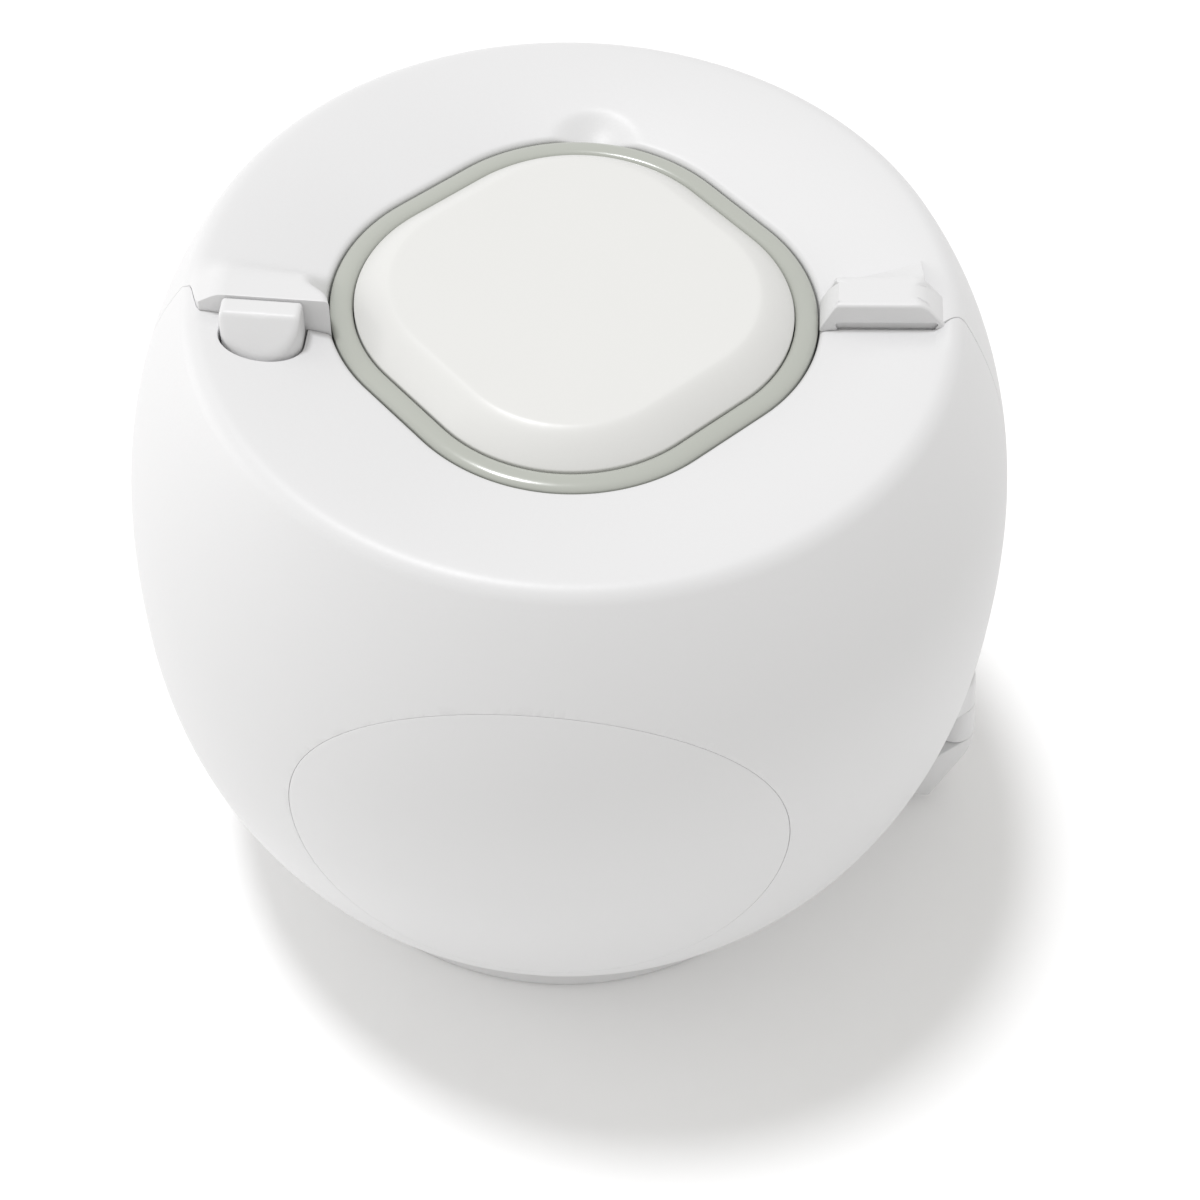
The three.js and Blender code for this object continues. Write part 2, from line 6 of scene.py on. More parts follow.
import bmesh
import bpy
import numpy as np
from mathutils import Matrix, Vector


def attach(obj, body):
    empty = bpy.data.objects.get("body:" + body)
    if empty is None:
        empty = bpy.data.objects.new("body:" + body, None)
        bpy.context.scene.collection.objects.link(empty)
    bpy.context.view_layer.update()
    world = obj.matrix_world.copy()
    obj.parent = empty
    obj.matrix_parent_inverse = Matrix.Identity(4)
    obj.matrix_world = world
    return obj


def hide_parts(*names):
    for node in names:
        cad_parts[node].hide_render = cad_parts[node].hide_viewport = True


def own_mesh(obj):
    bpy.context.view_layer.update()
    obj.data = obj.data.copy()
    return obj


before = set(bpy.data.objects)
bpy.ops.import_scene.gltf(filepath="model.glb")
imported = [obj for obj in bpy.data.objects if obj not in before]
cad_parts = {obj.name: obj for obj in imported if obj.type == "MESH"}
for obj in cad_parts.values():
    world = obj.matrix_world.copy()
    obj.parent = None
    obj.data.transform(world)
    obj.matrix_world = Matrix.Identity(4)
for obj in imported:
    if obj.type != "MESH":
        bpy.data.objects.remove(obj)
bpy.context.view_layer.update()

MM = 0.001

# ---- dimensions shared with the CAD model, in millimetres ----
GAP = 0.3
SEAM = 0.07  # visible air between the two half shells
OUTER_RADIUS = 40.0
HEIGHT = 68.0
WIDEST = 36.0
WALL = 2.2
UPPER_REACH, UPPER_FULLNESS = 49.2, 2.45
LOWER_REACH, LOWER_FULLNESS = 43.6, 2.2
RIM_ROUND = 2.0
RIM_SLOPE = math.radians(31)
HOLE_TOP = 66.2
CEILING = 64.0
NECK_RADIUS, NECK_HEIGHT, NECK_OPENING = 28.7, 5.2, 20.0
HOLE_HALF, HOLE_CORNER = 19.25, 15.5
HINGE_X = 40.1
KNUCKLE = 2.2
HINGE_TOP, HINGE_BOTTOM = 18.6, 1.5
REAR_KNUCKLE = (8.8, 14.0)
HINGE_PIN_RADIUS, PIN_ENDS = 0.8, (6.0, 15.2)
SHOULDER_X, SHOULDER_Y = HINGE_X - 1.6, -4.0
LATCH_X = -25.3
LATCH_PIVOT_Y, LATCH_PIVOT_Z = 13.0, 62.2
HOUSING_FRONT = -5.35
HOUSING_TOP = 69.95
SCALLOP_RADIUS = 6.0
SCALLOP_CENTRE = (0.3, 19.4, 71.2)
BAR_FRONT, BAR_BACK = -1.2, 2.15
BAR_LEFT, BAR_FLAT, BAR_RIGHT = 20.7, (21.8, 29.0), 31.4
BAR_TOP, BAR_SLOPE = 69.3, 0.09
PAD_HEIGHT, PAD_WIDTH, PAD_REACH = 38.0, 21.3, 20.3
STEM_HEIGHTS = (PAD_HEIGHT + 12.5, PAD_HEIGHT - 12.5)
STEM_SIZE = (5.0, 3.0)  # half width and half height
SCREW_ANGLES = [math.radians(a) for a in (45, 90, 135)]
SCREW_DISTANCE = 26.5
STRAP_ANGLE = math.radians(50)
STRAP_INNER, STRAP_OUTER = 30.4, 31.9
CUP_FLOOR, CUP_TOP = 55.2, 63.6
SPRING_BOTTOM = 56.9

SMOOTH_ANGLE = math.radians(38)
ROUND_POINTS = 192


# ---- mesh helpers ----

def make_object(name, parts, material):
    """One mesh object from several (vertices, faces) parts in millimetres, with outward normals."""
    vertices, faces, start = [], [], 0
    for part_vertices, part_faces in parts:
        vertices.append(np.asarray(part_vertices, float).reshape(-1, 3))
        faces.extend([[start + i for i in face] for face in part_faces])
        start += len(vertices[-1])
    mesh = bpy.data.meshes.new(name)
    mesh.from_pydata((np.concatenate(vertices) * MM).tolist(), [], faces)
    mesh.materials.append(material)
    clean(mesh)
    obj = bpy.data.objects.new(name, mesh)
    bpy.context.scene.collection.objects.link(obj)
    return obj


def clean(mesh):
    """Welds doubled vertices, turns normals outwards and shades smooth up to SMOOTH_ANGLE."""
    bm = bmesh.new()
    bm.from_mesh(mesh)
    bmesh.ops.remove_doubles(bm, verts=bm.verts, dist=1e-7)
    bmesh.ops.dissolve_degenerate(bm, dist=1e-8, edges=bm.edges)
    bmesh.ops.recalc_face_normals(bm, faces=bm.faces)
    bm.to_mesh(mesh)
    bm.free()
    mesh.shade_smooth()
    mesh.set_sharp_from_angle(angle=SMOOTH_ANGLE)


def grid_faces(rows, columns, start=0, wrap=False):
    """Quads of a grid of vertices stored row by row; wrap joins the last column to the first."""
    faces = []
    for i in range(rows - 1):
        for j in range(columns if wrap else columns - 1):
            k = (j + 1) % columns
            faces.append([start + i * columns + j, start + i * columns + k,
                          start + (i + 1) * columns + k, start + (i + 1) * columns + j])
    return faces


def thick_sheet(outer, inner):
    """A closed solid between two grids of points with the same rows and columns."""
    rows, columns = outer.shape[:2]
    count = rows * columns
    vertices = np.concatenate([outer.reshape(-1, 3), inner.reshape(-1, 3)])
    faces = grid_faces(rows, columns)
    faces += [face[::-1] for face in grid_faces(rows, columns, count)]
    rim = [i * columns for i in range(rows)]
    rim += [(rows - 1) * columns + j for j in range(1, columns)]
    rim += [i * columns + columns - 1 for i in range(rows - 2, -1, -1)]
    rim += list(range(columns - 2, 0, -1))
    for a, b in zip(rim, rim[1:] + rim[:1]):
        faces.append([a, b, count + b, count + a])
    return vertices, faces


def loft(loops, closed=False):
    """Joins loops of points into a solid: either closed on itself, or capped at both ends."""
    count = len(loops[0])
    vertices = np.concatenate(loops)
    faces = grid_faces(len(loops), count, wrap=True)
    if closed:
        last = (len(loops) - 1) * count
        for j in range(count):
            k = (j + 1) % count
            faces.append([last + j, last + k, k, j])
    else:
        faces.append(list(range(count))[::-1])
        faces.append(list(range(len(vertices) - count, len(vertices))))
    return vertices, faces


def cut(obj, *cutters):
    """Cuts closed (vertices, faces) solids out of obj."""
    for number, (vertices, faces) in enumerate(cutters):
        tool = make_object(f"cutter_{number}", [(vertices, faces)], obj.data.materials[0])
        modifier = obj.modifiers.new("cut", "BOOLEAN")
        modifier.operation = "DIFFERENCE"
        modifier.solver = "EXACT"
        modifier.object = tool
        bpy.context.view_layer.update()
        cut_mesh = bpy.data.meshes.new_from_object(
            obj.evaluated_get(bpy.context.evaluated_depsgraph_get()))
        obj.modifiers.clear()
        old_mesh, obj.data = obj.data, cut_mesh
        bpy.data.meshes.remove(old_mesh)
        tool_mesh = tool.data
        bpy.data.objects.remove(tool)
        bpy.data.meshes.remove(tool_mesh)
    clean(obj.data)


def merge(obj, other):
    """Adds another object's mesh to obj's and removes the other object."""
    bm = bmesh.new()
    bm.from_mesh(obj.data)
    bm.from_mesh(other.data)
    bm.to_mesh(obj.data)
    bm.free()
    other_mesh = other.data
    bpy.data.objects.remove(other)
    bpy.data.meshes.remove(other_mesh)


def place(obj, body, slot, *nodes):
    """obj rides on a CAD body and stands for CAD nodes, which it hides; slot is not used."""
    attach(obj, body)
    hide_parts(*nodes)
    return obj


def smooth(x):
    x = np.clip(x, 0.0, 1.0)
    return x * x * (3 - 2 * x)


def soft_min(a, b, softness):
    """The lower of two heights, blended where they are closer than softness."""
    h = np.clip(0.5 + 0.5 * (b - a) / softness, 0, 1)
    return b * (1 - h) + a * h - softness * h * (1 - h)


def round_drop(distance, radius):
    """How far a rounded edge lies below its face at a distance from the edge."""
    inside = np.clip(radius - np.asarray(distance, float), 0, radius)
    return radius - np.sqrt(np.maximum(radius ** 2 - inside ** 2, 0))


EDGE_STEPS = (0.0, 0.06, 0.2, 0.42, 0.7, 1.0)
CAP_SHARES = (0.04, 0.2, 0.35, 0.5, 0.65, 0.8, 0.92)


def rounded_prism(outline, bottom, top, radius, bottom_radius=None, centre=None):
    """A prism over outline(inset) -> (n, 2) points, with rounded upper and lower edges.
    bottom and top are heights or functions of x and y. The ends close on centre, which has to see the
    whole outline; without it they close on the outline's mean point."""
    low_radius = radius if bottom_radius is None else bottom_radius
    top_height = top if callable(top) else lambda x, y: top + 0 * x
    bottom_height = bottom if callable(bottom) else lambda x, y: bottom + 0 * x
    centre = outline(0).mean(0) if centre is None else np.array(centre)
    loops = []

    def inner_loops(size, height):
        rim = outline(size)
        for share in CAP_SHARES:
            points = centre + (rim - centre) * share
            loops.append(np.column_stack([points, height(points[:, 0], points[:, 1])]))

    def edge_loops(size, height, sign):
        for step in EDGE_STEPS[::-1]:
            points = outline(size * step)
            z = height(points[:, 0], points[:, 1]) - sign * round_drop(size * step, size)
            loops.append(np.column_stack([points, z]))

    inner_loops(low_radius, bottom_height)
    edge_loops(low_radius, bottom_height, -1)
    upper_start = len(loops)
    inner_loops(radius, top_height)
    edge_loops(radius, top_height, 1)
    loops[upper_start:] = loops[upper_start:][::-1]
    return loft(loops)


def moved(part, matrix):
    """A (vertices, faces) part with its vertices transformed."""
    vertices, faces = part
    m = np.array(matrix)
    return np.asarray(vertices) @ m[:3, :3].T + m[:3, 3], faces


def rounded_rectangle(x0, x1, y0, y1, corner, arc_points=8):
    """An outline function: a rectangle with rounded corners, inset all round."""
    def outline(inset):
        r = max(corner - inset, 0.02)
        centres = [(x1 - inset - r, y1 - inset - r, 0), (x0 + inset + r, y1 - inset - r, 90),
                   (x0 + inset + r, y0 + inset + r, 180), (x1 - inset - r, y0 + inset + r, 270)]
        points = []
        for cx, cy, start in centres:
            for a in np.radians(np.linspace(start, start + 90, arc_points)):
                points.append((cx + r * math.cos(a), cy + r * math.sin(a)))
        return np.array(points)
    return outline


def subdivided(outline, spacing):
    """The same outline function with extra points on its long edges."""
    corners = outline(0)
    lengths = np.linalg.norm(np.roll(corners, -1, 0) - corners, axis=1)
    counts = np.maximum(np.ceil(lengths / spacing).astype(int), 1)

    def finer(inset):
        points = outline(inset)
        following = np.roll(points, -1, 0)
        return np.concatenate([a + (b - a) * (np.arange(n) / n)[:, None]
                               for a, b, n in zip(points, following, counts)])
    return finer


def circle(radius, centre=(0, 0), points=48):
    """An outline function: a circle, inset all round."""
    angles = np.linspace(0, 2 * math.pi, points, endpoint=False)

    def outline(inset):
        r = max(radius - inset, 0.02)
        return np.column_stack([centre[0] + r * np.cos(angles), centre[1] + r * np.sin(angles)])
    return outline


# ---- the body's form ----

def body_radius(z):
    z = np.asarray(z, float)
    up = np.clip((z - WIDEST) / UPPER_REACH, 0, None) ** UPPER_FULLNESS
    down = np.clip((WIDEST - z) / LOWER_REACH, 0, None) ** LOWER_FULLNESS
    return OUTER_RADIUS * np.sqrt(np.maximum(1 - up - down, 0))


def hole_radius(angle, inset=0.0):
    """The rounded square with corners on the X and Y axes, inset all round."""
    half = HOLE_HALF - inset
    corner = max(HOLE_CORNER - inset, 0.05)
    c = half - corner
    phi = np.abs(np.asarray(angle) % (math.pi / 2) - math.pi / 4)
    straight = half / np.cos(phi)
    under = np.maximum(corner ** 2 - (c * (np.cos(phi) - np.sin(phi))) ** 2, 0)
    rounded = c * (np.cos(phi) + np.sin(phi)) + np.sqrt(under)
    return np.where(np.tan(phi) * half <= c, straight, rounded)


SIDE_TOP = HEIGHT - RIM_ROUND * (1 - math.sin(RIM_SLOPE))
RIM_CENTRE = float(body_radius(SIDE_TOP)) - RIM_ROUND * math.cos(RIM_SLOPE)


def face_height(x, y):
    """The dished face, between the hole's edge and the rim."""
    r = np.hypot(x, y)
    edge = hole_radius(np.arctan2(y, x))
    t = np.clip((r - edge) / (RIM_CENTRE - edge), 0, 1)
    return HOLE_TOP + (HEIGHT - HOLE_TOP) * (1 - (1 - t) ** 1.35)


# ---- half shells ----

EDGE_FILLET = 0.07
HOLE_EDGE_ROUND = 0.45
END_DISTANCES = [0, 0.02, 0.06, 0.12, 0.2]
FACE_ROWS = 42
SIDE_ROWS = 56
HOLE_EDGE_ROWS = 6  # stations on the round of the hole's edge, before the face's own


def section_stations():
    """Pairs of outer and inner stations along the section, from the hole's edge to the neck's opening.
    A station is (kind, value, z): a face station's value is its share of the way to the rim, and a
    ring station's is its radius."""
    pairs = []
    for angle in np.linspace(0, math.pi / 2, HOLE_EDGE_ROWS):
        drop = HOLE_EDGE_ROUND * (1 - math.sin(angle))
        pairs.append((("hole", -HOLE_EDGE_ROUND * (1 - math.cos(angle)), -drop), ("hole", 0.0, CEILING)))
    for t in np.linspace(0, 1, FACE_ROWS)[1:]:
        pairs.append((("face", t, None), ("face", t, CEILING)))
    inner_top = float(body_radius(CEILING)) - WALL
    for t in np.linspace(0, 1, 9)[1:]:
        angle = math.pi / 2 + (RIM_SLOPE - math.pi / 2) * t
        outer = (RIM_CENTRE + RIM_ROUND * math.cos(angle), HEIGHT - RIM_ROUND * (1 - math.sin(angle)))
        inner = (RIM_CENTRE + (inner_top - RIM_CENTRE) * t, CEILING)
        pairs.append((("ring", *outer), ("ring", *inner)))
    floor = NECK_HEIGHT + WALL
    for t in np.linspace(0, 1, SIDE_ROWS)[1:]:
        outer_z = SIDE_TOP + (NECK_HEIGHT + 0.5 - SIDE_TOP) * t
        inner_z = CEILING + (floor - CEILING) * t
        pairs.append((("ring", float(body_radius(outer_z)), outer_z),
                      ("ring", float(body_radius(inner_z)) - WALL, inner_z)))
    neck_inside = NECK_RADIUS - WALL
    for t in np.linspace(0, 1, 5)[1:]:
        pairs.append((("ring", NECK_RADIUS, NECK_HEIGHT + 0.2 - (NECK_HEIGHT - 0.4) * t),
                      ("ring", neck_inside, floor - 0.6 - (floor - 0.6 - WALL) * t)))
    for t in np.linspace(0, 1, 5)[1:]:
        angle = t * math.pi / 2
        pairs.append((("ring", NECK_RADIUS - 0.4 * (1 - math.cos(angle)), 0.4 * (1 - math.sin(angle))),
                      ("ring", neck_inside, WALL)))
    for t in np.linspace(0, 1, 6)[1:]:
        outer_r = NECK_RADIUS - 0.4 + (NECK_OPENING + 0.3 - NECK_RADIUS + 0.4) * t
        inner_r = neck_inside + (NECK_OPENING + 0.3 - neck_inside) * t
        pairs.append((("ring", outer_r, 0.0), ("ring", inner_r, WALL)))
    pairs.append((("ring", NECK_OPENING, 0.3), ("ring", NECK_OPENING, WALL - 0.3)))
    return pairs


def station_points(station, angles):
    kind, value, z = station
    if kind == "ring":
        radius = np.full_like(angles, value)
    elif kind == "hole":
        radius = hole_radius(angles, value)
    else:
        edge = hole_radius(angles, -HOLE_EDGE_ROUND)
        radius = edge + (RIM_CENTRE - edge) * value
    x, y = radius * np.cos(angles), radius * np.sin(angles)
    if z is None:
        height = face_height(x, y)
    elif kind == "hole" and z <= 0:
        height = face_height(x, y) + z
    else:
        height = np.full_like(angles, z)
    return np.column_stack([x, y, height])


def radius_at(station, angle):
    return float(np.hypot(*station_points(station, np.array([angle]))[0, :2]))


def half_shell(side, end_y, extra_distances, relief):
    """A half shell: side is 1 for the rear half and -1 for the front half. end_y(station index, end)
    gives the parting line's Y at the right end (0) and the left end (1). relief(points) adds the
    face's raised and hollow features to the outer points."""
    pairs = section_stations()
    middle = np.linspace(0, 1, 130)
    outer_rows, inner_rows = [], []
    for index, (outer, inner) in enumerate(pairs):
        for station, rows in ((outer, outer_rows), (inner, inner_rows)):
            ends = []
            for end, base in ((0, 0.0), (1, math.pi)):
                y = end_y(index, end)
                angle = base
                for _ in range(5):
                    r = radius_at(station, angle * side)
                    lean = math.asin(max(-1, min(1, y * side / r)))
                    angle = lean if end == 0 else math.pi - lean
                ends.append((angle, r))
            (a0, r0), (a1, r1) = ends
            right = [a0 + d / r0 for d in END_DISTANCES + extra_distances[0]]
            left = [a1 - d / r1 for d in END_DISTANCES + extra_distances[1]]
            between = right[-1] + (left[-1] - right[-1]) * middle
            angles = np.array(right[:-1] + list(between) + left[:-1][::-1])
            rows.append(station_points(station, angles * side))
    outer, inner = np.array(outer_rows), np.array(inner_rows)
    outer = relief(outer)
    centre = (outer + inner) / 2
    columns = outer.shape[1]
    for sheet in (outer, inner):
        for j, distance in enumerate(END_DISTANCES):
            pull = float(round_drop(distance, EDGE_FILLET))
            for column in (j, columns - 1 - j):
                way = centre[:, column] - sheet[:, column]
                length = np.linalg.norm(way, axis=1, keepdims=True)
                sheet[:, column] += way / np.maximum(length, 1e-6) * pull
    return thick_sheet(outer, inner)


FACE_END = HOLE_EDGE_ROWS + FACE_ROWS - 1  # first station of the rim's round


def parting_line(side):
    """The parting line's Y. On the face the rear half reaches forward of Y = 0, under the latch housing
    on the left and under the catch bar on the right; the line comes back to Y = 0 over the rim."""
    middle = side * SEAM / 2
    bar_front = BAR_FRONT - (SEAM if side < 0 else 0)
    housing_front = HOUSING_FRONT - (SEAM / 2 if side < 0 else 0)

    def end_y(index, end):
        past_rim = index - FACE_END
        if end == 0:
            front = bar_front
            turn = smooth((past_rim + 5) / 9)
        else:
            front = housing_front
            turn = 0.55 * smooth((past_rim + 1) / 4) + 0.45 * smooth((past_rim - 2) / 16)
        return front + (middle - front) * turn
    return end_y


def rear_relief(points):
    """The latch housing and the thumb scallop."""
    x, y, z = points[..., 0], points[..., 1], points[..., 2]
    on_top = z > HOLE_TOP - 2.5
    across = soft_min(np.clip((x + 32.2) / 3.0, 0, 1.2), 1.0, 0.25) * (x < -15)
    right_edge = -22.4 + np.clip(-2.95 - y, 0, 3) * 1.31
    across = across * (1 - smooth((x - right_edge) / 2.8))
    back = 1 - smooth((y + 3.1) / 5.0)
    raised = np.maximum(HOUSING_TOP - face_height(x, y), 0) * across * back
    centre_x, centre_y, centre_z = SCALLOP_CENTRE
    ball = SCALLOP_RADIUS ** 2 - (x - centre_x) ** 2 - (y - centre_y) ** 2
    hollow = centre_z - np.sqrt(np.maximum(ball, 0))
    z_new = z + np.where(on_top, raised, 0)
    scooped = np.where(ball > 0, soft_min(z_new, hollow, 0.7), z_new)
    z_new = np.where(on_top & (y > 5), np.minimum(z_new, scooped), z_new)
    return np.stack([x, y, z_new], -1)


def front_relief(points):
    """The shallow ramp on the front half's face that leads into the slot of the catch bar."""
    x, y, z = points[..., 0], points[..., 1], points[..., 2]
    slot_foot = 66.56 + BAR_SLOPE * (x - BAR_FLAT[0])
    near_bar = (1 - smooth((BAR_FRONT - 0.1 - y) / 3.2)) * (1 - smooth((x - 30.2) / 1.3)) * (x > 15)
    lowered = np.maximum(z - slot_foot, 0) * near_bar * (z > HOLE_TOP - 0.1)
    return np.stack([x, y, z - lowered], -1)


def flared(outline, surface, low, radius, axis_matrix=None, beyond=3.0):
    """A cutter over outline(grow) -> (n, 2) points, from depth low up through surface(a, b), which
    leaves a rounded edge of the given radius where it meets the surface."""
    loops = []
    base = outline(0)
    centre = base.mean(0)
    loops.append(np.column_stack([centre + (base - centre) * 0.3, np.full(len(base), low)]))
    loops.append(np.column_stack([base, np.full(len(base), low)]))
    for angle in np.radians((0, 20, 40, 60, 78)):
        points = outline(radius * (1 - math.cos(angle)))
        depth = surface(points[:, 0], points[:, 1]) - radius * (1 - math.sin(angle))
        loops.append(np.column_stack([points, depth]))
    points = outline(radius * 1.4)
    loops.append(np.column_stack([points, surface(points[:, 0], points[:, 1]) + beyond]))
    top = centre + (points - centre) * 0.3
    loops.append(np.column_stack([top, surface(top[:, 0], top[:, 1]) + beyond]))
    part = loft(loops)
    return part if axis_matrix is None else moved(part, axis_matrix)


def oval(grow):
    """The pad's outline in X and Z, grown all round."""
    angles = np.linspace(0, 2 * math.pi, 128, endpoint=False)
    return np.column_stack([(PAD_WIDTH + grow) * np.cos(angles),
                            PAD_HEIGHT + (PAD_REACH + grow) * np.sin(angles)])


def oval_window(side):
    """The cutter for the oval window in the half shell at side * Y."""
    def depth(x, z):
        return np.sqrt(np.maximum(body_radius(z) ** 2 - x ** 2, 1))
    swap = Matrix(((1, 0, 0, 0), (0, 0, side, 0), (0, 1, 0, 0), (0, 0, 0, 1)))
    return flared(lambda grow: oval(grow + 0.03), depth, 22.0, 0.03, swap)


HEAD_HALF = 3.35
HEAD_BACK = HOUSING_FRONT - 0.1
HEAD_FRONT = -9.8
HEAD_TOP = 69.95


def head_outline(back, front, half, corner=0.35):
    """The D outline of the latch tab, straight at the back and round at the front, inset all round."""
    def outline(inset):
        h = half - inset
        b, f = back - inset, front + inset
        r = max(corner - inset, 0.02)
        shoulder = f + h * 0.75
        points = [(LATCH_X + h - r + r * math.cos(a), b - r + r * math.sin(a))
                  for a in np.radians(np.linspace(0, 90, 6))]
        points += [(LATCH_X - h + r + r * math.cos(a), b - r + r * math.sin(a))
                   for a in np.radians(np.linspace(90, 180, 6))]
        points += [(LATCH_X + h * math.cos(a), shoulder + (shoulder - f) * math.sin(a))
                   for a in np.radians(np.linspace(180, 360, 40))]
        return np.array(points)
    return outline


ALONG_Y = Matrix(((1, 0, 0, 0), (0, 0, 1, 0), (0, 1, 0, 0), (0, 0, 0, 1)))  # Z of a prism becomes Y
ALONG_X = Matrix(((0, 0, 1, 0), (1, 0, 0, 0), (0, 1, 0, 0), (0, 0, 0, 1)))  # and X


def block(x, y, z, radius=0.25):
    """A box with rounded edges between pairs of limits."""
    return rounded_prism(rounded_rectangle(*x, *y, radius), *z, radius)


KNUCKLE_ROUND = 0.15
KNUCKLE_SEAM = 0.1  # visible air between the knuckles
SHOULDER_TURN = math.atan2(SHOULDER_Y, SHOULDER_X - HINGE_X) + math.acos(
    KNUCKLE / math.hypot(SHOULDER_X - HINGE_X, SHOULDER_Y))


WEB_DEPTH = 1.8  # how deep a knuckle's web reaches into the shell's wall


def knuckle(side, z0, z1, radius=KNUCKLE_ROUND, bottom=None):
    """A hinge knuckle with its web; side is -1 for the front half and 1 for the rear half.
    The front half's webs reach forward of the barrel to a shoulder."""
    def outline(inset):
        r = KNUCKLE - inset
        first_turn = SHOULDER_TURN if side < 0 else -math.pi / 2
        arc = [(HINGE_X + r * math.cos(a), -side * r * math.sin(a))
               for a in np.linspace(first_turn, math.radians(176), 37)]
        edge = side * (GAP / 2 + inset)
        web = [(HINGE_X - r, edge), (NECK_RADIUS, edge)]
        if side > 0:
            return np.array(arc + web + [(NECK_RADIUS, r)])
        front = SHOULDER_Y + inset
        shoulder = HINGE_X + (r - front * math.sin(SHOULDER_TURN)) / math.cos(SHOULDER_TURN)
        return np.array(arc + web + [(NECK_RADIUS, front), (shoulder, front)])

    points, faces = rounded_prism(outline, z0 if bottom is None else bottom, z1, radius, KNUCKLE_ROUND,
                                  centre=(HINGE_X, side * KNUCKLE / 2))
    # the web's inner end follows the shell's wall
    web_length = HINGE_X - KNUCKLE - NECK_RADIUS
    share = np.clip((HINGE_X - KNUCKLE - points[:, 0]) / web_length, 0, 1)
    z = points[:, 2]
    wall = np.where(z < NECK_HEIGHT, NECK_RADIUS, body_radius(z))
    return points + np.outer(share * (wall - WEB_DEPTH - NECK_RADIUS), (1, 0, 0)), faces


TAPER_START, TAPER = 10.0, 0.15  # the barrel's outer side is set in above this height, per millimetre


def tapered(part):
    """A knuckle whose barrel is set in towards the top of the hinge."""
    points, faces = part
    set_in = np.maximum(points[:, 2] - TAPER_START, 0) * TAPER / KNUCKLE
    beyond = np.maximum(points[:, 0] - HINGE_X, 0)
    return points - np.outer(beyond * set_in, (1, 0, 0)), faces


def slanted_bottom(x, y):
    """The lowest knuckle's underside, which rises outwards."""
    return np.clip(HINGE_BOTTOM + (x - SHOULDER_X) * 1.37, HINGE_BOTTOM, HINGE_BOTTOM + 5.2)


POCKET_TOP = 66.15


def bar_mouth(depth):
    """The cutter for the slot at the foot of the bar's front wall; it rises with the bar."""
    def outline(inset):
        ends, low, high, chamfer = (22.15, 30.2), 66.45, 67.32, 0.25
        corners = [(ends[0], low), (ends[1], low), (ends[1] + chamfer, high - chamfer),
                   (ends[1], high), (ends[0], high), (ends[0] - chamfer, high - chamfer)]
        return np.array([(x, z + BAR_SLOPE * (x - BAR_FLAT[0])) for x, z in corners])
    return moved(rounded_prism(outline, BAR_FRONT - 2, BAR_FRONT + depth, 0.001), ALONG_Y)


def catch_bar():
    """The bar on the right of the face and the ramp behind it down to the face."""
    def top(x, y):
        level = BAR_TOP + BAR_SLOPE * (x - BAR_FLAT[0])
        left = 66.6 + (x - BAR_LEFT) * 2.5
        right = 67.35 + (BAR_RIGHT - x) * 1.1
        return soft_min(soft_min(level, left, 0.35), right, 0.7)

    def ramp_top(x, y):
        steepness = 1.12 - (x - 22.4) * 0.094
        slope = BAR_TOP + BAR_SLOPE * (x - BAR_FLAT[0]) - (y - BAR_BACK) * steepness
        return soft_min(top(x, y), slope, 0.15) - 0.01

    outline = rounded_rectangle(BAR_LEFT, BAR_RIGHT, BAR_FRONT - 0.02, BAR_BACK, 0.15)
    beam = rounded_prism(subdivided(outline, 0.2), POCKET_TOP + 0.03, top, 0.3, 0.02)
    ramp_outline = rounded_rectangle(BAR_FLAT[0], BAR_FLAT[1] + 0.1, BAR_BACK - 0.6, 6.6, 0.1)
    ramp = rounded_prism(subdivided(ramp_outline, 0.2), 66.3, ramp_top, 0.1, 0.02)
    return beam, ramp


def screw_boss(angle):
    """A hollow post under the face for one of the cup's screws."""
    low, high, outer, bore = 59.2, 64.4, 2.6, 1.3
    at = (SCREW_DISTANCE * math.cos(angle), SCREW_DISTANCE * math.sin(angle))
    profile = [(bore, high), (bore, low + 0.3), (bore + 0.3, low), (outer - 0.3, low), (outer, low + 0.3),
               (outer, high)]
    loops = [np.column_stack([circle(r, at)(0), np.full(48, z)]) for r, z in profile]
    return loft(loops, closed=True)


def latch_lug(side):
    near, outer = LATCH_X + side * 2.8, LATCH_X + side * 4.0
    return block(sorted((near, outer)), (LATCH_PIVOT_Y - 2.2, LATCH_PIVOT_Y + 2.2),
                 (LATCH_PIVOT_Z - 2, CEILING + 0.4))


def rear_shell(material):
    right_columns = list(np.arange(0.5, 4.1, 0.4))
    left_columns = list(np.arange(0.5, 9.6, 0.35))
    sheet = half_shell(1, parting_line(1), (right_columns, left_columns), rear_relief)
    obj = make_object("rear_shell_fine", [sheet], material)
    pocket = rounded_prism(rounded_rectangle(22.4, 30.8, -3, 1.6, 0.1), CEILING - 0.6, POCKET_TOP, 0.02)
    cut(obj, oval_window(1), pocket, bar_mouth(0.35))
    beam, ramp = catch_bar()
    bar = make_object("bar", [beam], material)
    cut(bar, bar_mouth(0.25))
    details = [ramp, tapered(knuckle(1, *REAR_KNUCKLE)), latch_lug(-1), latch_lug(1)]
    details += [screw_boss(angle) for angle in SCREW_ANGLES]
    merge(obj, bar)
    merge(obj, make_object("details", details, material))
    return obj


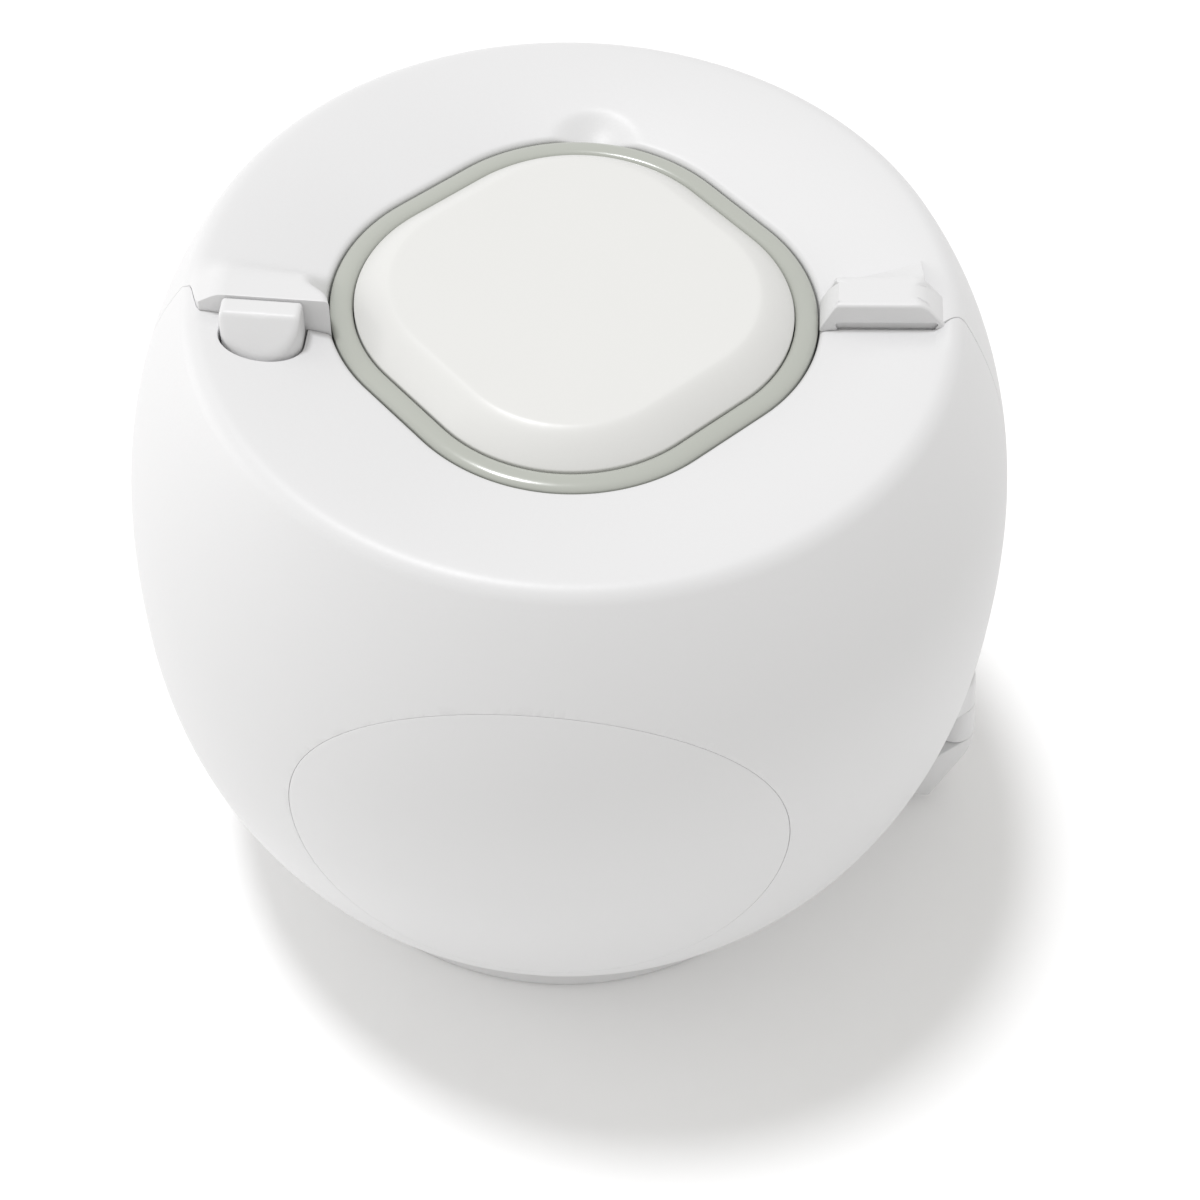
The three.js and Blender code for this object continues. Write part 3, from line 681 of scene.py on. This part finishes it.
def front_shell(material):
    columns = list(np.arange(0.45, 4, 0.5))
    sheet = half_shell(-1, parting_line(-1), (columns, columns), front_relief)
    obj = make_object("front_shell_fine", [sheet], material)
    notch = flared(
        lambda grow: head_outline(-4.0, HEAD_FRONT - 0.33 - grow, HEAD_HALF + 0.16 + grow)(0),
        face_height, CEILING - 2, 0.12)
    cut(obj, oval_window(-1), notch)
    tongue = block((22.8, 30.4), (-3.2, 1.2), (CEILING, 65.7))
    keeper = block((LATCH_X - 2.3, LATCH_X + 2.3), (-11.7, -10.5), (62.8, CEILING + 0.4))
    upper = tapered(knuckle(-1, REAR_KNUCKLE[1] + KNUCKLE_SEAM, HINGE_TOP, radius=0.6))
    lower = knuckle(-1, HINGE_BOTTOM, REAR_KNUCKLE[0] - KNUCKLE_SEAM, bottom=slanted_bottom)
    merge(obj, make_object("details", [tongue, keeper, upper, lower], material))
    return obj


# ---- materials ----

def node_material(name, base_color, roughness):
    """A plain material with its node tree and shader."""
    material = bpy.data.materials.new(name)
    material.use_nodes = True
    shader = material.node_tree.nodes["Principled BSDF"]
    shader.inputs["Base Color"].default_value = (*base_color, 1)
    shader.inputs["Roughness"].default_value = roughness
    return material, material.node_tree, shader


def moulded_plastic(name, base_color, roughness, grain, bump, tint=0.02):
    """Moulded plastic: fine spark-eroded texture in bump and roughness, and a faint colour drift."""
    material, tree, shader = node_material(name, base_color, roughness)
    place_node = tree.nodes.new("ShaderNodeTexCoord")
    fine = tree.nodes.new("ShaderNodeTexNoise")
    fine.inputs["Scale"].default_value = grain
    fine.inputs["Detail"].default_value = 3
    tree.links.new(place_node.outputs["Object"], fine.inputs["Vector"])
    bump_node = tree.nodes.new("ShaderNodeBump")
    bump_node.inputs["Strength"].default_value = bump
    bump_node.inputs["Distance"].default_value = 0.00003
    tree.links.new(fine.outputs["Fac"], bump_node.inputs["Height"])
    tree.links.new(bump_node.outputs["Normal"], shader.inputs["Normal"])
    drift = tree.nodes.new("ShaderNodeTexNoise")
    drift.inputs["Scale"].default_value = 45
    drift.inputs["Detail"].default_value = 2
    tree.links.new(place_node.outputs["Object"], drift.inputs["Vector"])
    ramp = tree.nodes.new("ShaderNodeMapRange")
    ramp.inputs["To Min"].default_value = roughness - 0.05
    ramp.inputs["To Max"].default_value = roughness + 0.05
    tree.links.new(fine.outputs["Fac"], ramp.inputs["Value"])
    tree.links.new(ramp.outputs["Result"], shader.inputs["Roughness"])
    colour = tree.nodes.new("ShaderNodeMix")
    colour.data_type = "RGBA"
    colour.inputs[6].default_value = (*[c * (1 - tint) for c in base_color], 1)
    colour.inputs[7].default_value = (*[min(c * (1 + tint * 0.5), 1) for c in base_color], 1)
    tree.links.new(drift.outputs["Fac"], colour.inputs[0])
    tree.links.new(colour.outputs[2], shader.inputs["Base Color"])
    return material


shell_white = moulded_plastic("shell_plastic", (0.72, 0.72, 0.725), 0.42, 2600, 0.35)
ring_grey = moulded_plastic("ring_plastic", (0.45, 0.465, 0.425), 0.2, 1500, 0.08)
button_white = moulded_plastic("button_plastic", (0.725, 0.725, 0.71), 0.36, 2200, 0.2)
inner_grey = moulded_plastic("inner_plastic", (0.66, 0.66, 0.65), 0.5, 2600, 0.3)
rubber_grey = moulded_plastic("grip_rubber", (0.10, 0.105, 0.11), 0.75, 1800, 0.8)
steel = moulded_plastic("plated_steel", (0.55, 0.55, 0.56), 0.28, 900, 0.2)
steel.node_tree.nodes["Principled BSDF"].inputs["Metallic"].default_value = 1


# ---- ring, button, cup ----

def square_loop(inset, z, share=1.0):
    """A loop of the rounded square, inset all round, then shrunk towards the axis by share."""
    angles = np.linspace(0, 2 * math.pi, ROUND_POINTS, endpoint=False)
    r = hole_radius(angles, inset) * share
    return np.column_stack([r * np.cos(angles), r * np.sin(angles), np.full_like(angles, z)])


def ring():
    """The ring: a half-round band with its crest nearer the inner edge."""
    crest_inset, crest = 1.3, 66.3
    profile = [(2.1, 64.0), (2.1, 65.9)]
    for angle in np.radians(np.linspace(-75, 0, 9)):
        profile.append((crest_inset - 0.78 * math.sin(angle), crest - 0.42 * (1 - math.cos(angle))))
    for angle in np.radians(np.linspace(0, 90, 12)[1:]):
        profile.append((crest_inset - 1.14 * math.sin(angle), crest - 0.5 * (1 - math.cos(angle))))
    profile.append((0.16, 64.0))
    return loft([square_loop(inset, z) for inset, z in profile], closed=True)


def button():
    """The button, hollow below: a flat top, sides that slope to the ring, a flange and a spring post."""
    flat_inset, foot_inset, top, foot = 5.3, 2.3, 68.4, 66.3
    loops = [square_loop(flat_inset, top - 0.03 * share ** 2, share)
             for share in (0.03, 0.2, 0.4, 0.6, 0.8, 0.93, 0.98)]
    for t in np.linspace(0, 1, 22):
        loops.append(square_loop(flat_inset + (foot_inset - flat_inset) * t,
                                 top - 0.03 + (foot - top) * t ** 1.45))
    for angle in np.radians((50, 25, 0)):
        loops.append(square_loop(foot_inset - 0.1 * math.cos(angle), foot - 0.25 + 0.2 * math.sin(angle)))
    flange = [(2.35, 63.55), (2.3, 63.5), (1.25, 63.5), (1.15, 63.4), (1.15, 62.3), (1.25, 62.2),
              (2.4, 62.2)]
    loops += [square_loop(inset, z) for inset, z in flange]
    loops += [square_loop(inset, z) for inset, z in ((2.4, 60.1), (2.5, 60.0), (3.9, 60.0), (4.0, 60.1))]
    loops.append(square_loop(4.0, 65.0))
    loops += [square_loop(4.0, 65.2, share) for share in (0.95, 0.6, 0.2, 0.03)]
    post = rounded_prism(circle(3.2), 62.5, 65.6, 0.3)
    return loft(loops), post


def cup():
    """The cup under the button, with three screw ears and the shelf for the latch's spring."""
    outer, inner, floor_top = -1.35, 0.85, CUP_FLOOR + 1.4
    loops = [square_loop(outer + 0.4, CUP_FLOOR, share) for share in (0.03, 0.4, 0.8)]
    profile = [(outer + 0.4, CUP_FLOOR), (outer + 0.1, CUP_FLOOR + 0.1), (outer, CUP_FLOOR + 0.4),
               (outer, CUP_TOP - 0.2), (outer + 0.2, CUP_TOP), (inner - 0.2, CUP_TOP),
               (inner, CUP_TOP - 0.2), (inner, floor_top + 0.3), (inner + 0.3, floor_top)]
    loops += [square_loop(inset, z) for inset, z in profile]
    loops += [square_loop(inner + 0.3, floor_top, share) for share in (0.8, 0.4, 0.03)]
    parts = [loft(loops)]
    ear = rounded_prism(rounded_rectangle(19.5, 29.6, -3.2, 3.2, 3.0), 57.4, 58.9, 0.2)
    rib = block((19.5, 23.2), (-0.6, 0.6), (CUP_FLOOR + 0.6, 57.8), 0.2)
    for angle in SCREW_ANGLES:
        turn = Matrix.Rotation(angle, 4, "Z")
        parts += [moved(ear, turn), moved(rib, turn)]
    shelf = block((LATCH_X - 3, -19), (-5, 1), (CUP_FLOOR, floor_top), 0.3)
    return parts + [shelf]


# ---- latch and pins ----

def head_top(x, y):
    """The latch tab's top: a flat facet at the back, then a slope to the front."""
    facet = HEAD_TOP + 0 * x
    slope = HEAD_TOP + (y + 7.3) * 1.15
    return soft_min(facet, slope, 0.3)


def latch():
    """The tab's head, the arm that carries it and the barrel round the latch's pin."""
    width = (LATCH_X - 2.5, LATCH_X + 2.5)
    arm_top = LATCH_PIVOT_Z + 0.2
    outline = subdivided(head_outline(HEAD_BACK, HEAD_FRONT, HEAD_HALF), 0.2)
    head = rounded_prism(outline, arm_top - 0.7, head_top, 0.45, 0.1)
    arm = block(width, (-12.1, LATCH_PIVOT_Y), (arm_top - 1.4, arm_top), 0.3)
    barrel = rounded_prism(circle(1.5, (LATCH_PIVOT_Y, LATCH_PIVOT_Z)), *width, 0.2)
    rib = (LATCH_X - 0.6, LATCH_X + 0.6)
    stiffener = block(rib, (HEAD_BACK, LATCH_PIVOT_Y - 1), (arm_top - 0.3, 63.4), 0.2)
    return head, arm, moved(barrel, ALONG_X), stiffener


def pin(radius, ends, centre, matrix=Matrix()):
    return moved(rounded_prism(circle(radius, centre, 32), *ends, 0.15), matrix)


# ---- grip pads ----

def pad(side):
    """A grip pad: a plate that follows the body, a flange behind the wall and two stems."""
    def loop(grow, inset, share=1.0):
        points = oval(grow)
        x = points[:, 0] * share
        z = PAD_HEIGHT + (points[:, 1] - PAD_HEIGHT) * share
        y = np.sqrt(np.maximum((body_radius(z) - inset) ** 2 - x ** 2, 1))
        return np.column_stack([x, side * y, z])
    loops = [loop(0, 0, share) for share in np.linspace(0.02, 0.99, 26)]
    for angle in np.radians((0, 30, 60, 90)):
        loops.append(loop(-0.03 * (1 - math.sin(angle)), 0.03 * (1 - math.cos(angle))))
    loops += [loop(0, 2.5), loop(1.3, 2.5), loop(1.3, 3.7), loop(0, 3.7)]
    loops += [loop(0, 3.7, share) for share in (0.7, 0.35, 0.02)]
    half_width, half_height = STEM_SIZE
    depth = sorted((side * 36.6, side * 31.8))
    stems = [block((-half_width, half_width), depth, (z - half_height, z + half_height), 0.4)
             for z in STEM_HEIGHTS]
    return [loft(loops), *stems]


def rubber(side, middle):
    """A gripping block with ribs across it."""
    back, face, tip = side * 31.5, side * 30.5, side * 29.8
    half_width, half_height = STEM_SIZE
    height = (middle - half_height, middle + half_height)
    parts = [block((-half_width, half_width), sorted((back, face)), height)]
    for z in np.linspace(middle - 2.4, middle + 2.4, 5):
        parts.append(block((-4.8, 4.8), sorted((face + side * 0.3, tip)), (z - 0.35, z + 0.35), 0.2))
    return parts


def radial_turn(side, end):
    """Turns what points to -Y to a strap's foot: side is the half shell, end the foot."""
    return Matrix.Rotation(end * STRAP_ANGLE + (math.pi if side > 0 else 0), 4, "Z")


def strap(side):
    """The arched strap that keeps a pad in, with a foot at each end against the shell."""
    section = rounded_rectangle(STRAP_INNER, STRAP_OUTER, PAD_HEIGHT - 4.5, PAD_HEIGHT + 4.5, 0.4)(0)
    reach = STRAP_ANGLE + 0.09
    out, up = section.T
    arch = loft([np.column_stack([out * math.sin(a), side * out * math.cos(a), up])
                 for a in np.linspace(-reach, reach, 65)])
    foot = block((-3, 3), (-37.3, -31.2), (PAD_HEIGHT - 4.5, PAD_HEIGHT + 4.5), 0.4)
    return [arch] + [moved(foot, radial_turn(side, end)) for end in (-1, 1)]


# ---- screws and springs ----

def screw(name, head, head_height, shank, length, matrix):
    """A pan-head screw with a cross recess; its seat is at the origin and its shank points to +Z."""
    profile = [(head * math.sin(a), -0.35 * head_height - 0.65 * head_height * math.cos(a))
               for a in np.radians(np.linspace(2, 90, 8))]
    profile += [(head, -0.1), (head - 0.1, 0), (shank * 0.75, 0)]
    pitch = 0.55
    for i in range(int((length - 1.6) / pitch)):
        profile += [(shank * 0.75, 0.5 + i * pitch), (shank, 0.75 + i * pitch)]
    profile += [(shank * 0.75, length - 0.9), (0.1, length)]
    thread = loft([np.column_stack([circle(r, points=32)(0), np.full(32, z)]) for r, z in profile])
    obj = make_object(name, [thread], steel)
    arm, width = head * 0.55, head * 0.13
    depth = (-head_height - 1, -head_height * 0.4)
    cut(obj, block((-arm, arm), (-width, width), depth, 0.02),
        block((-width, width), (-arm, arm), depth, 0.02))
    points = np.array([v.co for v in obj.data.vertices]) / MM
    turned_points = moved((points, None), matrix)[0] * MM
    obj.data.vertices.foreach_set("co", turned_points.ravel())
    obj.data.update()
    return obj


def coil_spring(radius, length, turns, wire=0.35):
    """A compression spring along Z, standing on the origin, with closed ends."""
    ring_angles = np.linspace(0, 2 * math.pi, 12, endpoint=False)
    loops = []
    for turn in np.linspace(0, turns, turns * 28 + 1):
        rise = np.clip((turn - 0.7) / (turns - 1.4), 0, 1)
        out = radius + wire * np.cos(ring_angles)
        z = wire + (length - 2 * wire) * rise + wire * np.sin(ring_angles)
        angle = 2 * math.pi * turn
        loops.append(np.column_stack([out * math.cos(angle), out * math.sin(angle), z]))
    return loft(loops)


# ---- building ----

def add(name, parts, material, body, slot):
    """Makes a piece that stands for the CAD node of that name."""
    return place(make_object(f"{name}_fine", parts, material), body, slot, name)


place(rear_shell(shell_white), "rear_half", "shell", "rear_shell")
place(front_shell(shell_white), "front_half", "shell", "front_shell")
add("bezel_ring", [ring()], ring_grey, "rear_half", "ring")
add("decoy_button", button(), button_white, "button", "button")
add("button_cup", cup(), inner_grey, "rear_half", "inner")
add("latch_tab", latch(), shell_white, "latch", "shell")
latch_pin = pin(0.6, (LATCH_X - 4.0, LATCH_X + 4.0), (LATCH_PIVOT_Y, LATCH_PIVOT_Z), ALONG_X)
add("latch_pivot_pin", [latch_pin], steel, "rear_half", "steel")
add("hinge_pin", [pin(HINGE_PIN_RADIUS, PIN_ENDS, (HINGE_X, 0))], steel, "rear_half", "steel")

for number, angle in enumerate(SCREW_ANGLES, 1):
    seat = Matrix.Translation((SCREW_DISTANCE * math.cos(angle), SCREW_DISTANCE * math.sin(angle), 57.1))
    place(screw(f"cup_screw_{number}_fine", 2.4, 1.2, 1.0, 5.9, seat),
          "rear_half", "steel", f"cup_screw_{number}")


def add_spring(name, body, coil, base, turn):
    """A spring that stands on base, turned from +Z by turn."""
    radius, length, turns = coil
    matrix = Matrix.Translation(base) @ turn
    piece = add(name, [moved(coil_spring(radius, length, turns), matrix)], steel, body, "steel")
    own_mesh(piece)


add_spring("button_spring", "rear_half", (2.4, 5.3, 4), (0, 0, SPRING_BOTTOM), Matrix())
add_spring("latch_spring", "rear_half", (1.6, 3.8, 4), (LATCH_X, -2, SPRING_BOTTOM),
           Matrix())

for half, side in (("front", -1), ("rear", 1)):
    shell_body, pad_body = f"{half}_half", f"{half}_pad"
    add(f"{half}_grip_pad", pad(side), shell_white, pad_body, "shell")
    for level, height in zip(("upper", "lower"), STEM_HEIGHTS):
        add(f"{half}_{level}_rubber", rubber(side, height), rubber_grey, pad_body, "rubber")
    add(f"{half}_pad_strap", strap(side), inner_grey, shell_body, "inner")
    for number, end in ((1, -1), (2, 1)):
        lay = Matrix.Translation((0, -29.9, PAD_HEIGHT)) @ Matrix.Rotation(math.pi / 2, 4, "X")
        matrix = radial_turn(side, end) @ lay
        place(screw(f"{half}_strap_screw_{number}_fine", 2.0, 1.1, 0.9, 8.8, matrix),
              shell_body, "steel", f"{half}_strap_screw_{number}")
    add_spring(f"{half}_pad_spring", shell_body, (2.4, 3.8, 3),
               (0, side * (STRAP_OUTER + GAP), PAD_HEIGHT), Matrix.Rotation(-side * math.pi / 2, 4, "X"))


# ---- floor, light and camera ----

floor_mesh = bpy.data.meshes.new("floor")
floor_mesh.from_pydata([(-3, -3, 0), (3, -3, 0), (3, 3, 0), (-3, 3, 0)], [], [[0, 1, 2, 3]])
floor = bpy.data.objects.new("floor", floor_mesh)
bpy.context.scene.collection.objects.link(floor)
floor_material, _, floor_shader = node_material("floor", (0.97, 0.97, 0.97), 0.8)
floor_shader.inputs["Specular IOR Level"].default_value = 0.2
floor_mesh.materials.append(floor_material)
floor.location.z = -0.0001


def area_light(name, location, size, power, target=(0, 0, 0.035), color=(1, 1, 1)):
    data = bpy.data.lights.new(name, "AREA")
    data.shape = "DISK"
    data.size = size
    data.energy = power
    data.color = color
    light = bpy.data.objects.new(name, data)
    light.location = location
    way = Vector(target) - Vector(location)
    light.rotation_mode = "QUATERNION"
    light.rotation_quaternion = way.to_track_quat("-Z", "Y")
    bpy.context.scene.collection.objects.link(light)


world = bpy.data.worlds.new("world")
bpy.context.scene.world = world
world.use_nodes = True
world.node_tree.nodes["Background"].inputs["Color"].default_value = (1.0, 0.99, 0.97, 1)
world.node_tree.nodes["Background"].inputs["Strength"].default_value = 0.70
area_light("key", (-0.60, 0.41, 2.91), 0.48, 40, color=(0.975, 0.98, 1.0))
area_light("fill", (-1.0, 0.1, 0.22), 0.8, 2.7)
bpy.context.scene.view_settings.view_transform = "Standard"

CAMERA_ELEVATION = 0.9126
CAMERA_AZIMUTH = 0.0363
CAMERA_ROLL = 0.0414
CAMERA_DISTANCE = 0.19801
CAMERA_SHIFT = (0.002115, -0.026057)
CAMERA_LENS = 70.93

back = Vector((math.sin(CAMERA_AZIMUTH) * math.cos(CAMERA_ELEVATION),
               -math.cos(CAMERA_AZIMUTH) * math.cos(CAMERA_ELEVATION), math.sin(CAMERA_ELEVATION)))
level_right = Vector((math.cos(CAMERA_AZIMUTH), math.sin(CAMERA_AZIMUTH), 0))
level_up = back.cross(level_right)
c, s = math.cos(CAMERA_ROLL), math.sin(CAMERA_ROLL)
right = c * level_right + s * level_up
up = c * level_up - s * level_right
camera_data = bpy.data.cameras.new("camera")
camera_data.lens = CAMERA_LENS
camera = bpy.data.objects.new("camera", camera_data)
bpy.context.scene.collection.objects.link(camera)
camera.matrix_world = Matrix.Translation(
    Vector((0, 0, HEIGHT * MM)) + back * CAMERA_DISTANCE + right * CAMERA_SHIFT[0] + up * CAMERA_SHIFT[1]
) @ Matrix((right, up, back)).transposed().to_4x4()
camera_data.clip_start = 0.01
bpy.context.scene.camera = camera
